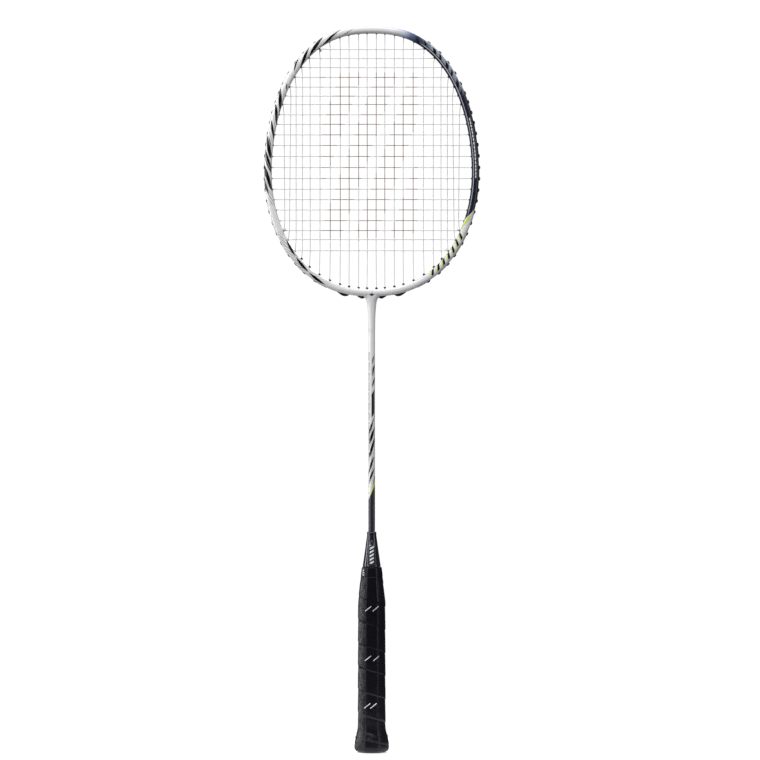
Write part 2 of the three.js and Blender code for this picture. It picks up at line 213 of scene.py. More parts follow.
def outline(angle):
    """Where the outline is at an angle from the right-hand side, and the direction outward there."""
    rise = HEAD_RISE if math.sin(angle) >= 0 else HEAD_DROP
    roundness = ROUNDNESS_ABOVE if math.sin(angle) >= 0 else ROUNDNESS_BELOW
    share = abs(math.cos(angle)) ** (2 / roundness)
    normal = (roundness * share ** (roundness - 1) / HEAD_HALF_WIDTH, 2 * math.sin(angle) / rise)
    size = math.hypot(*normal)
    return (
        HEAD_HALF_WIDTH * share,
        HEAD_CENTRE_Z + rise * math.sin(angle),
        normal[0] / size,
        normal[1] / size,
    )


# The right half as a table from the top centre to the bottom centre, by length along it.
OUTLINE_STEPS = 6000
half = np.array([outline(angle) for angle in np.linspace(math.pi / 2, -math.pi / 2, OUTLINE_STEPS + 1)])
half_lengths = np.concatenate([[0], np.cumsum(np.hypot(np.diff(half[:, 0]), np.diff(half[:, 1])))])
HALF_LENGTH = half_lengths[-1]


def on_hoop(along, outward, y):
    """A point by its length from the top centre, + to the right, its distance outward, and its depth."""
    x, z, normal_x, normal_z = (np.interp(np.abs(along), half_lengths, column) for column in half.T)
    side = np.where(np.asarray(along) < 0, -1.0, 1.0)
    return np.stack(np.broadcast_arrays(side * (x + normal_x * outward), y, z + normal_z * outward), -1)


# ---- The holes ----


def hole_length(number):
    """How far along the outline a hole is, found from where its barrel's mouth meets its string."""
    mouth = on_hoop(half_lengths, BARREL_TIP, 0)
    widest = OUTLINE_STEPS // 2
    if number < FIRST_CROSS_HOLE:
        place = np.searchsorted(mouth[:widest, 0], MAIN_OFFSETS[number - 1])
    elif number >= FIRST_THROAT_HOLE:
        place = len(mouth) - np.searchsorted(mouth[widest + 1:, 0][::-1], MAIN_OFFSETS[LAST_HOLE - number])
    else:
        place = len(mouth) - np.searchsorted(mouth[:, 2][::-1], CROSS_HEIGHTS[number - FIRST_CROSS_HOLE])
    return half_lengths[place]


class Hole:
    """A hole, numbered from the top centre down each side, with its place and its axis outward."""

    def __init__(self, number, side):
        self.number, self.side = number, side
        self.along = side * hole_length(number)
        self.shared = number in SHARED_HOLES
        self.in_throat = number >= FIRST_THROAT_HOLE
        lean = CENTRE_HOLE_LEAN if number == LAST_HOLE else 0
        tip, further = on_hoop(self.along, BARREL_TIP, 0), on_hoop(self.along, 0, 0)
        normal = (further - tip) / -BARREL_TIP
        turn = side * lean
        self.axis = np.array([
            normal[0] * math.cos(turn) - normal[2] * math.sin(turn),
            0,
            normal[0] * math.sin(turn) + normal[2] * math.cos(turn),
        ])
        self.tip, self.stretch = tip, 1 / math.cos(lean)

    def at(self, outward, y=0.0):
        """A point on the hole's axis, moved forward or back by y."""
        return self.tip + self.axis * (outward - BARREL_TIP) * self.stretch + np.array([0, y, 0])


holes = {(number, side): Hole(number, side) for number in range(1, LAST_HOLE + 1) for side in (-1, 1)}

# ---- Head frame ----

# Half of the tube's section, from the middle of the groove round to the inner wall, as [outward, depth].
HALF_SECTION = [
    [2.15, 0], [2.15, 1.2], [2.3, 1.85], [2.95, 2.2], [3.36, 2.65], [3.15, 3.5], [2.35, 4.5],
    [1.1, 5.15], [-0.2, 5.3], [-1.6, 5.0], [-2.7, 4.1], [-3.25, 2.7], [-3.4, 1.2],
]
STATIONS = 700

# The throat stub and its flare into the hoop, as [height, half width, half depth].
THROAT_PROFILE = [
    [391.9, 3.0, 3.0], [392.4, 3.14, 3.14], [399, 3.2, 3.2], [406, 3.45, 3.45], [412, 3.82, 3.8],
    [416, 4.2, 4.15], [418.6, 4.6, 4.45], [420.6, 5.2, 4.7], [422.3, 6.2, 4.9], [423.9, 8.3, 5.0],
    [425.6, 12, 5.05], [427.4, 16, 4.9],
]


def head_section():
    """The closed section, with each point's distance round it from the nearer of the two crowns."""
    back = HALF_SECTION + [[-3.4, 0]]
    front = [[u, -v] for u, v in HALF_SECTION[1:][::-1]]
    curve = through(back + front, 4, closed=True)
    lengths = np.concatenate([[0], np.cumsum(np.linalg.norm(np.diff(curve, axis=0), axis=1))])
    crown = lengths[np.argmax(curve[:, 1])]
    middle = len(curve) // 2
    from_back = crown - lengths
    from_front = -(2 * lengths[middle] - crown - lengths)
    across = np.where(np.arange(len(curve)) <= middle, from_back, from_front)
    return curve, across


def head_frame():
    """The hoop and the throat stub, with each point's place along and across the hoop for the paint."""
    section, across = head_section()
    along = (np.arange(2 * STATIONS) / STATIONS - 1) * HALF_LENGTH
    rows = on_hoop(along[:, None], section[None, :, 0], section[None, :, 1])
    shape = Shape().grid(rows, wrap_rows=True, along=along[:, None], across=across[None, :])
    angles = full_turn(64)
    rows = [ring(angles, width, depth, z) for z, width, depth in through(THROAT_PROFILE, 5)]
    shape.grid(rows, caps=True, along=HALF_LENGTH, across=0)
    return shape.build("painted_head_frame")


# ---- Grommets ----


def barrel(shape, hole):
    """A tapered tube through the wall, open for its strings, with a rounded mouth."""
    bore = 0.92 if hole.shared else 0.6
    wall = bore + (0.6 if hole.in_throat else 0.34)
    tip = BARREL_TIP + (-0.7 if hole.in_throat else 0.3)
    profile = [
        [WEB_TOP - 0.2, wall], [0, wall], [-3.2, wall], [tip + 0.4, wall - 0.06], [tip + 0.1, wall - 0.14],
        [tip, bore + 0.14], [tip + 0.1, bore + 0.02], [tip + 0.4, bore], [0, bore], [WEB_TOP - 0.2, bore],
    ]
    front = np.array([0, 1.0, 0])
    beside = np.cross(hole.axis, front)
    angles = full_turn(20)
    circle = np.outer(np.cos(angles), beside) + np.outer(np.sin(angles), front)
    rows = [hole.at(outward) + radius * circle for outward, radius in profile]
    shape.grid(rows, wrap_rows=True)


def cheek_height(along):
    """How far a hole's cheeks stand up: little at the top and the throat, most on the right flank."""
    if not 41 < abs(along) < 300:
        return 0.25
    return 1.15 if along < 0 else 1.65


def web(shape, first, last, bulge):
    """The strip along the groove: a thin floor, a pair of cheeks at each hole, and a swell if it's a pad."""
    overhang, half_width = 1.9, 1.66
    channel, channel_slope = 0.42, 0.3
    ends = sorted([groove_length(first), groove_length(last)])
    along = np.linspace(ends[0] - overhang, ends[1] + overhang, int((ends[1] - ends[0]) / 0.45) + 14)
    beyond = np.clip(np.maximum(ends[0] - along, along - ends[1]) / overhang, 0, 1)
    width = half_width * np.sqrt(np.maximum(1 - beyond**2, 0.0009))
    across = np.sin(np.linspace(-np.pi / 2, np.pi / 2, 17))
    y = width[:, None] * across[None, :]
    edge = np.sqrt(np.maximum(1 - (np.abs(y) / (width[:, None] + 1e-6)) ** 6, 0))
    near = np.min([np.abs(along - groove_length(h)) for h in (first, last)], axis=0)
    beside_channel = np.clip((np.abs(y) - channel) / channel_slope, 0, 1)
    cheeks = np.clip(1.25 - (near / 2.1) ** 2, 0, 1)[:, None] * beside_channel
    share = (along - along[0]) / (along[-1] - along[0])
    middle = (ends[0] + ends[1]) / 2
    towards_throat = share if middle > 0 else 1 - share
    lens = bulge * np.sin(np.pi * towards_throat**1.5)[:, None] ** 0.7 * beside_channel
    top = WEB_TOP - 0.3 + edge * (0.3 + np.maximum(cheek_height(middle) * cheeks, lens))
    bottom = np.full_like(top, GROOVE_FLOOR - 0.25)
    over = on_hoop(along[:, None], top, y)
    under = on_hoop(along[:, None], bottom, y)[:, ::-1]
    shape.grid(np.concatenate([over, under], 1), caps=True)


def groove_length(hole):
    """Where along the outline a hole comes out into the groove."""
    shift = math.tan(CENTRE_HOLE_LEAN) * (WEB_TOP - BARREL_TIP) if hole.number == LAST_HOLE else 0
    return hole.along - hole.side * shift


def grommet(name, first, last, bulge=0.0):
    shape = Shape()
    web(shape, first, last, bulge)
    for hole in {first.along: first, last.along: last}.values():
        barrel(shape, hole)
    return shape.build(name)


def all_grommets():
    """Every grommet with the CAD node it stands for."""
    pairs = [(grommet("top_centre_grommet", holes[1, -1], holes[1, 1]), "grommet_top_centre")]
    for side, word in ((-1, "left"), (1, "right")):
        for number in range(2, 30, 2):
            piece = grommet(f"{word}_grommet_{number:02d}", holes[number, side], holes[number + 1, side])
            pairs.append((piece, f"grommet_{word}_{number:02d}"))
        single = grommet(f"{word}_grommet_30", holes[30, side], holes[30, side])
        pairs.append((single, f"grommet_{word}_30"))
        for place, number in (("outer", 31), ("inner", 33)):
            pad = grommet(f"{word}_{place}_pad", holes[number, side], holes[number + 1, side], PAD_BULGE)
            pairs.append((pad, f"throat_pad_{place}_{word}"))
    return pairs


# ---- Strings ----


def top_hole(main):
    return main if main <= 10 else 12


def bottom_hole(main):
    return LAST_HOLE + 1 - main


# The mains from left to right, as (number from the middle, side, top mouth, bottom mouth).
mains = []
for side in (-1, 1):
    for number in range(1, 12):
        top = holes[top_hole(number), side].at(MOUTH_BEND)
        bottom = holes[bottom_hole(number), side].at(MOUTH_BEND)
        mains.append((top[0], number, side, top, bottom))
mains = [row[1:] for row in sorted(mains, key=lambda row: row[0])]


def face(main_index, cross):
    """The side of the bed that a cross passes on at a main."""
    return 1 if (main_index + cross) % 2 == 0 else -1


def main_x(top, bottom, z):
    return bottom[0] + (top[0] - bottom[0]) * (z - bottom[2]) / (top[2] - bottom[2])


def meets(top, bottom, z):
    """Whether a main reaches a height, clear of its ends."""
    return bottom[2] + CLEAR_OF_ENDS < z < top[2] - CLEAR_OF_ENDS


def main_depth(hole):
    """How far behind the hole's axis a main lies in it."""
    return STRAND_OFFSET if hole.shared else 0


def eased(points, steps=6):
    """Joins points so that depth eases from one to the next, flat at each, and the rest goes straight."""
    path = []
    for start, end in zip(points, points[1:]):
        for t in np.arange(steps) / steps:
            point = start + (end - start) * t
            point[1] = start[1] + (end[1] - start[1]) * (1 - math.cos(math.pi * t)) / 2
            path.append(point)
    path.append(points[-1])
    return path


def bed_run(index):
    """A main from its top mouth down to its bottom mouth, woven among the crosses."""
    number, side, top, bottom = mains[index]
    ends = [holes[top_hole(number), side], holes[bottom_hole(number), side]]
    points = [ends[0].at(MOUTH_BEND + 1, main_depth(ends[0]))]
    for cross, z in enumerate(CROSS_HEIGHTS, 1):
        if meets(top, bottom, z):
            points.append(np.array([main_x(top, bottom, z), -WEAVE * face(index, cross), z]))
    points.append(ends[1].at(MOUTH_BEND + 1, main_depth(ends[1])))
    return eased(points)


def groove_loop(first, last, depth_first, depth_last):
    """Out of one hole, along the groove over any hole it passes, and in at another."""
    run = WEB_TOP + STRING_RADIUS + 0.02
    mouth = MOUTH_BEND + 1.2
    start, end = groove_length(first), groove_length(last)
    points = [first.at(outward, depth_first) for outward in (mouth, 0, run - 0.1)]
    for share in np.linspace(0.12, 0.88, 7):
        along = start + (end - start) * share
        depth = depth_first + (depth_last - depth_first) * share
        points.append(on_hoop(along, run + 0.12, depth))
    points += [last.at(outward, depth_last) for outward in (run - 0.1, 0, mouth)]
    return list(round_corners(points, 2))


KNOT_DISTANCE = BARREL_TIP - 1.2


def knot(shape, around, direction, tail):
    """Two close turns of string round another string, and the cut end."""
    direction = np.asarray(direction, float) / np.linalg.norm(direction)
    beside = np.cross(direction, [0, 1.0, 0])
    turns = np.linspace(0, 2.4 * 2 * np.pi, 44)
    climb = np.linspace(-0.8, 0.8, 44)
    reach = 0.74
    path = [
        around + direction * c + reach * (math.cos(a) * beside + math.sin(a) * np.array([0, 1.0, 0]))
        for a, c in zip(turns, climb)
    ]
    path.append(path[-1] + np.asarray(tail) * 0.4)
    path.append(path[-2] + np.asarray(tail))
    tube(shape, path, STRING_RADIUS)


def main_string():
    """One string up and down the head, from the lower right to the lower left."""
    path = []
    for index in range(len(mains) - 1, -1, -1):
        going_up = index % 2 == 1
        run = bed_run(index)
        path += run[::-1] if going_up else run
        if index > 0:
            pick = top_hole if going_up else bottom_hole
            pair = (mains[index], mains[index - 1])
            first, last = (holes[pick(number), side] for number, side, _, _ in pair)
            path += groove_loop(first, last, main_depth(first), main_depth(last))
    shape = Shape()
    tube(shape, path, STRING_RADIUS)
    for side in (-1, 1):
        end = holes[bottom_hole(11), side]
        knot(shape, end.at(KNOT_DISTANCE, -STRAND_OFFSET), end.axis, [side * -1.2, -0.7, 1.6])
    return shape.build("woven_main_string")


def cross_run(cross):
    """A cross from left to right, with its ends in their holes."""
    z = CROSS_HEIGHTS[cross - 1]
    ends = [holes[cross + FIRST_CROSS_HOLE - 1, side] for side in (-1, 1)]
    met = [index for index, (_, _, top, bottom) in enumerate(mains) if meets(top, bottom, z)]
    depths = [
        -STRAND_OFFSET if end.shared else LONE_CROSS_OFFSET * face(index, cross)
        for end, index in zip(ends, (met[0], met[-1]))
    ]
    points = [ends[0].at(MOUTH_BEND + 1, depths[0])]
    for index in met:
        top, bottom = mains[index][2:]
        points.append(np.array([main_x(top, bottom, z), WEAVE * face(index, cross), z]))
    points.append(ends[1].at(MOUTH_BEND + 1, depths[1]))
    return eased(points)


def cross_string():
    """One string back and forth across the head, from the upper left to the lower right."""
    runs = [cross_run(cross) for cross in range(1, len(CROSS_HEIGHTS) + 1)]
    runs = [run[::-1] if place % 2 else run for place, run in enumerate(runs)]
    path = list(runs[0])
    for place, (before, after) in enumerate(zip(runs, runs[1:])):
        number, side = FIRST_CROSS_HOLE + place, -1 if place % 2 else 1
        path += groove_loop(holes[number, side], holes[number + 1, side], before[-1][1], after[0][1])
        path += after
    shape = Shape()
    tube(shape, path, STRING_RADIUS)
    start, end = holes[FIRST_CROSS_HOLE, -1], holes[FIRST_THROAT_HOLE - 1, 1]
    knot(shape, start.at(KNOT_DISTANCE, STRAND_OFFSET), start.axis, [0.9, -0.6, -1.8])
    knot(shape, end.at(KNOT_DISTANCE, STRAND_OFFSET), end.axis, [-1.2, -0.6, 1.6])
    return shape.build("woven_cross_string")


# ---- Shaft and cone ----


def shaft():
    """The tube and the spigot that goes up into the throat, round one bore."""
    heights = np.linspace(SHAFT_FOOT_Z, SHAFT_TOP_Z - 0.2, 60)
    profile = [[SHAFT_FOOT_Z, SHAFT_BORE]] + [[z, SHAFT_RADIUS] for z in heights]
    profile += [[SHAFT_TOP_Z, SHAFT_RADIUS - 0.01], [SHAFT_TOP_Z, SPIGOT_RADIUS]]
    profile += [[SPIGOT_TOP_Z, SPIGOT_RADIUS], [SPIGOT_TOP_Z, SHAFT_BORE]]
    rows = [ring(full_turn(64), radius, radius, z) for z, radius in profile]
    return Shape().grid(rows, wrap_rows=True).build("painted_shaft")


# The cone's outside, as [height, radius].
CONE_PROFILE = [
    [172.3, 8.0], [172.7, 8.3], [173.6, 8.32], [178, 7.66], [184, 6.8], [190, 5.95], [195, 5.3],
    [199, 4.72], [201.8, 4.36], [202.6, 4.42], [203.8, 4.4], [204.7, 4.1], [205.1, 3.6], [205.1, 3.3],
]
ARCH_FOOT_Z, ARCH_TOP_Z, ARCH_HALF_WIDTH = 174.2, 197.2, 3.75
ARCH_POINT, ARCH_TAPER = 3.2, 0.12
CONE_BORE_RADIUS = 3.25


def arch_half_width(z):
    """The half width of the cone's pointed panel at a height."""
    share = np.clip((z - ARCH_FOOT_Z) / (ARCH_TOP_Z - ARCH_FOOT_Z), 0, 1)
    return ARCH_HALF_WIDTH * (1 - share**ARCH_POINT) * (1 - ARCH_TAPER * share)


def cone():
    """A cone with a pointed panel sunk into its front and its back, inside a raised rim."""
    panel_depth, rim_height = 0.3, 0.1
    angles = full_turn(192)
    on_a_face = np.abs(np.sin(angles)) > 0.5
    rows = []
    for z, radius in through(CONE_PROFILE, 7):
        beside = np.abs(radius * np.cos(angles))
        width = arch_half_width(z) if ARCH_FOOT_Z < z < ARCH_TOP_Z else 0
        inside = np.clip((width - beside) / 0.35, 0, 1) * on_a_face
        rim = np.exp(-(((beside - width) / 0.4) ** 2)) * on_a_face * (width > 0.2)
        reach = radius - panel_depth * inside + rim_height * rim
        rows.append(ring(angles, reach, reach, z))
    for z in (CONE_PROFILE[-1][0], CONE_PROFILE[0][0]):
        rows.append(ring(angles, CONE_BORE_RADIUS, CONE_BORE_RADIUS, z))
    return Shape().grid(rows, wrap_rows=True).build("moulded_cone")


# ---- Handle ----


def rounded_octagon(angles, softness):
    """How far an eight-sided section with unit flats reaches at each angle, with its corners rounded."""
    turn = np.pi / 4
    offset = (angles + turn / 2) % turn - turn / 2
    sharp = 1 / np.cos(offset)
    worn = 1 + (1 / math.cos(turn / 2) - 1) * (1 - softness)
    return -np.log(np.exp(-24 * sharp) + np.exp(-24 * worn)) / 24 + math.log(2) / 24 * 0.4


def wrapped(name, profile, relief, inner, step):
    """An eight-sided sleeve from [z, half width] points, raised by relief(angle, z), round an inner wall."""
    profile = np.array(profile, float)
    lengths = np.concatenate([[0], np.cumsum(np.hypot(*np.diff(profile, axis=0).T))])
    spots = np.linspace(0, lengths[-1], int(lengths[-1] / step))
    heights = np.interp(spots, lengths, profile[:, 0])
    widths = np.interp(spots, lengths, profile[:, 1])
    angles = full_turn(160)
    reach = rounded_octagon(angles, 0.45)
    rows = []
    for z, width in zip(heights, widths):
        radius = width * reach + relief(angles, z)
        rows.append(ring(angles, radius, HANDLE_DEPTH_SHARE * radius, z))
    for z, width in inner:
        rows.append(ring(angles, width * reach, HANDLE_DEPTH_SHARE * width * reach, z))
    return Shape().grid(rows, wrap_rows=True).build(name)


def wrap_turn(angles, z):
    """The place on the helical wrap, in turns: whole numbers are the overlapping edge."""
    around = np.arctan2(np.cos(angles), np.sin(angles)) / (2 * np.pi)
    return z / WRAP_PITCH - around


# Folds where the wrap flares, as (place round the grip from its front, height, swell, reach).
FOLDS = [
    (0, 16.8, 0.7, 7), (-1.5, 13.4, 0.5, 5), (24, 15.2, 0.5, 6), (46, 16.2, 0.6, 7), (-27, 14.6, 0.5, 6),
]
FOLD_THICKNESS, FOLD_FALL = 0.75, 0.28
FLARE_RADIUS, FLARE_GIRTH = 14.5, 91


def grip_relief(angles, z):
    """The wrap's overlap: a step at its edge, a shallow dip beside it, and folds where it flares."""
    turn = wrap_turn(angles, z) % 1.0
    edge = 0.4 * np.clip(turn / 0.06, 0, 1) * (1 - turn) ** 0.7
    dip = -0.16 * np.exp(-(((turn - SEAM_TURN) / 0.03) ** 2))
    ripple = 0.05 * np.sin(7.3 * angles + 0.41 * z) * np.sin(0.19 * z + 2.1 * angles)
    fade = min(1.0, z / 12) * min(1.0, (GRIP_TOP_Z + 2 - z) / 8)
    relief = (edge + dip + ripple) * fade
    arc = FLARE_RADIUS * clock(angles)
    for middle, height, swell, reach in FOLDS:
        beside = (arc - middle + FLARE_GIRTH / 2) % FLARE_GIRTH - FLARE_GIRTH / 2
        beyond = z - height + FOLD_FALL * beside
        relief = relief + swell * np.exp(-((beyond / FOLD_THICKNESS) ** 2) - (beside / reach) ** 2)
    return relief


def grip():
    profile = [[0.9 + 3.4 * (1 - math.cos(a)), 12.7 + 3.5 * math.sin(a)] for a in np.linspace(0, 1.45, 8)]
    profile += [
        [5.2, 16.25], [7, 16.1], [10, 15.65], [13, 14.95], [16, 14.15], [19, 13.35], [22, 12.8], [26, 12.6],
        [140, 12.45], [149, 11.5], [163, 10.1], [163.2, 9.8],
    ]
    inner = [[163.2, 8.9], [150, 9.8], [140, 10.6], [24, 10.6], [15, 12.4], [6, 13.6], [1.2, 12.7]]
    return wrapped("wrapped_grip", profile, grip_relief, inner, 0.55)


def tape_relief(angles, z):
    """A second turn of the tape starts at one place and ends a little further round."""
    around = (clock(angles) / (2 * np.pi) + 0.13 + 0.004 * (z - 167)) % 1.0
    return 0.14 * np.clip(around / 0.01, 0, 1) * np.clip((0.7 - around) / 0.01, 0, 1)


def tape():
    profile = [[163.25, 10.05], [163.5, 10.2], [166, 9.95], [170.8, 9.35], [171.6, 9.2], [172, 8.95]]
    inner = [[172, 8.3], [163.25, 8.6]]
    return wrapped("wound_tape", profile, tape_relief, inner, 0.3)


def butt_cap():
    """A domed plate with a shallow ring pressed into it."""
    profile = [[12, 0.3], [12, 2.9], [2.6, 2.9], [2.6, 12.9], [2.2, 13.25], [1.0, 13.3], [0.35, 12.9]]
    profile += [[0.1, 11.8], [0.06, 9.6], [0.35, 9.2], [0.35, 8.2], [0.04, 7.8], [0.02, 4], [0.0, 0.3]]
    angles = full_turn(128)
    reach = rounded_octagon(angles, 0.3)
    rows = []
    for z, width in profile:
        radius = width * (1 + (reach - 1) * min(1.0, width / 9))
        rows.append(ring(angles, radius, HANDLE_DEPTH_SHARE * radius, z))
    return Shape().grid(rows, caps=True).build("butt_plate")


# ---- Materials ----


class Look:
    """One material's node tree, with short ways to add nodes and join them."""

    def __init__(self, name, roughness, **shader):
        self.material = bpy.data.materials.new(name)
        self.material.use_nodes = True
        self.tree = self.material.node_tree
        self.shader = self.tree.nodes["Principled BSDF"]
        self.shader.inputs["Roughness"].default_value = roughness
        for label, value in shader.items():
            self.shader.inputs[label.replace("_", " ")].default_value = value
        place = self.node("ShaderNodeTexCoord").outputs["Object"]
        scaled = self.node("ShaderNodeVectorMath", operation="SCALE")
        self.join(place, scaled.inputs[0])
        scaled.inputs["Scale"].default_value = 1000
        self.place = scaled.outputs[0]
        split = self.node("ShaderNodeSeparateXYZ")
        self.join(self.place, split.inputs[0])
        self.x, self.y, self.z = split.outputs

    def node(self, kind, **settings):
        made = self.tree.nodes.new(kind)
        for label, value in settings.items():
            setattr(made, label, value)
        return made

    def join(self, value, socket):
        if isinstance(value, bpy.types.NodeSocket):
            self.tree.links.new(value, socket)
        elif isinstance(value, tuple) and len(value) == 3 and len(socket.default_value) == 4:
            socket.default_value = (*value, 1)
        else:
            socket.default_value = value

    def math(self, operation, *values, clamp=False):
        made = self.node("ShaderNodeMath", operation=operation, use_clamp=clamp)
        for value, socket in zip(values, made.inputs):
            self.join(value, socket)
        return made.outputs[0]

    def add(self, a, b):
        return self.math("ADD", a, b)

    def less(self, a, b):
        return self.math("SUBTRACT", a, b)

    def times(self, a, b):
        return self.math("MULTIPLY", a, b)

    def size(self, a):
        return self.math("ABSOLUTE", a)

    def above(self, value, level, soft=0.12):
        """1 where value is over level, 0 where it is under, over a soft edge."""
        return self.math("ADD", self.math("DIVIDE", self.less(value, level), soft), 0.5, clamp=True)

    def both(self, *masks):
        made = masks[0]
        for mask in masks[1:]:
            made = self.times(made, mask)
        return made

    def either(self, *masks):
        made = masks[0]
        for mask in masks[1:]:
            made = self.math("MAXIMUM", made, mask)
        return made

    def below(self, value, level, soft):
        """1 where value is under level, 0 where it is over, over a soft edge."""
        return self.above(self.less(level, value), 0, soft)

    def within(self, value, low, high, soft=0.12):
        return self.both(self.above(value, low, soft), self.below(value, high, soft))

    def inverse(self, mask):
        return self.less(1, mask)

    def cycle(self, value, period):
        """How far value is through the present period, from 0 to 1."""
        return self.math("FRACT", self.math("DIVIDE", value, period))

    def around(self, depth_share):
        """The turn from the front face, + towards +X, from -0.5 to 0.5."""
        forward = self.times(self.y, -1 / depth_share)
        return self.math("DIVIDE", self.math("ARCTAN2", self.x, forward), math.tau)

    def arcs(self, around, girth):
        """The distance round from the middle of the front, and from the middle of the back."""
        from_back = self.less(self.math("FRACT", self.add(around, 1)), 0.5)
        return self.times(around, girth), self.times(from_back, girth)

    def value_of(self, attribute):
        return self.node("ShaderNodeAttribute", attribute_name=attribute).outputs["Fac"]

    def mix(self, share, a, b):
        made = self.node("ShaderNodeMix", data_type="RGBA")
        self.join(share, made.inputs[0])
        self.join(a, made.inputs[6])
        self.join(b, made.inputs[7])
        return made.outputs[2]

    def ramp(self, value, stops, top, colours=True):
        """A colour or number that changes with value, from (value, colour) stops, up to the value top."""
        made = self.node("ShaderNodeValToRGB")
        elements = made.color_ramp.elements
        while len(elements) < len(stops):
            elements.new(0.5)
        for element, (at, colour) in zip(elements, stops):
            element.position = at / top
            element.color = (*colour, 1) if colours else (colour, colour, colour, 1)
        self.join(self.math("DIVIDE", value, top), made.inputs[0])
        return made.outputs[0]

    def noise(self, scale, detail, vector=None):
        made = self.node("ShaderNodeTexNoise")
        made.inputs["Scale"].default_value = scale
        made.inputs["Detail"].default_value = detail
        self.join(vector or self.place, made.inputs["Vector"])
        return made.outputs["Fac"]

    def stretched(self, x, y, z):
        """The place, scaled by different amounts along each axis."""
        made = self.node("ShaderNodeVectorMath", operation="MULTIPLY")
        self.join(self.place, made.inputs[0])
        made.inputs[1].default_value = (x, y, z)
        return made.outputs[0]

    def slashes(self, along, across, slope, period, thickness, reach, seed, density=1.0, wander=0.4):
        """Slanted lens-shaped strokes, one to a period, each moved, stretched and thinned at random.

        slope is how far a stroke falls back along for each step across. reach is about half its extent across.
        """
        slanted = self.add(along, self.times(across, slope))
        cell = self.math("FLOOR", self.math("DIVIDE", slanted, period))
        local = self.less(self.less(slanted, self.times(cell, period)), period / 2)
        random = self.node("ShaderNodeTexWhiteNoise", noise_dimensions="1D")
        self.join(self.add(cell, seed), random.inputs["W"])
        split = self.node("ShaderNodeSeparateColor")
        self.join(random.outputs["Color"], split.inputs[0])
        first, second, third = split.outputs
        shift = self.times(self.less(first, 0.5), period * wander)
        distance = self.times(self.size(self.less(local, shift)), 1 / math.hypot(1, slope))
        centre = self.times(self.less(second, 0.5), reach * 0.8)
        length = self.add(self.times(third, reach * 0.6), reach * 0.7)
        share = self.math("DIVIDE", self.less(across, centre), length)
        lens = self.less(1, self.times(share, share))
        widest = self.add(self.times(first, thickness * 0.7), thickness * 0.6)
        width = self.times(self.times(lens, density), widest)
        return self.above(self.less(width, distance), 0.05, 0.12)

    def colour(self, value):
        self.join(value, self.shader.inputs["Base Color"])

    def rough(self, value, span, least):
        """Roughness that goes from least up by span, as value goes from 0 to 1."""
        self.join(self.add(self.times(value, span), least), self.shader.inputs["Roughness"])

    def bump(self, height, strength, distance):
        made = self.node("ShaderNodeBump")
        made.inputs["Strength"].default_value = strength
        made.inputs["Distance"].default_value = distance * MM
        self.join(height, made.inputs["Height"])
        self.join(made.outputs[0], self.shader.inputs["Normal"])


HOOP_RAMP_END = 351


def left_strokes(look, left, length, drifting, across):
    """White, with bold black strokes in three stretches, fine lines between, and a chain of links."""
    stretches = look.ramp(length, [
        (14, 0), (26, 0.34), (46, 0.62), (80, 0.62), (87, 0), (99, 0), (103, 0.7), (146, 0.8), (156, 1.0),
        (198, 1.0), (205, 0),
    ], HOOP_RAMP_END, colours=False)
    bold = look.slashes(drifting, across, 2.3, 15.2, 2.4, 5.6, 3, stretches, wander=0.35)
    hair_zone = look.ramp(length, [
        (14, 0), (22, 0.5), (80, 0.5), (86, 0), (103, 0), (108, 0.5), (196, 0.6), (203, 1), (214, 1),
        (217, 0), (239, 0), (244, 1), (300, 1), (318, 0),
    ], HOOP_RAMP_END, colours=False)
    hair = look.slashes(drifting, across, 2.3, 5.1, 0.34, 5.0, 87, hair_zone, wander=0.25)
    gaps = look.slashes(look.add(drifting, 3), across, 2.6, 19, 0.3, 7, 19, wander=0.2)

    chain_start, chain_end, link = 250, 307, 19
    beyond = look.less(length, chain_start)
    off_chain = look.size(look.less(look.add(across, 2.7), look.times(beyond, 0.075)))
    swell = look.math("SINE", look.times(look.cycle(beyond, link), math.pi))
    in_link = look.below(off_chain, look.times(swell, 1.35), 0.15)
    links = look.both(in_link, look.within(length, chain_start, chain_end))

    black = look.both(look.either(look.both(bold, look.inverse(gaps)), links), left)
    fine = look.both(hair, left, look.inverse(look.either(bold, links)))
    return look.mix(black, look.mix(look.times(fine, 0.8), WHITE, GREY), INK)


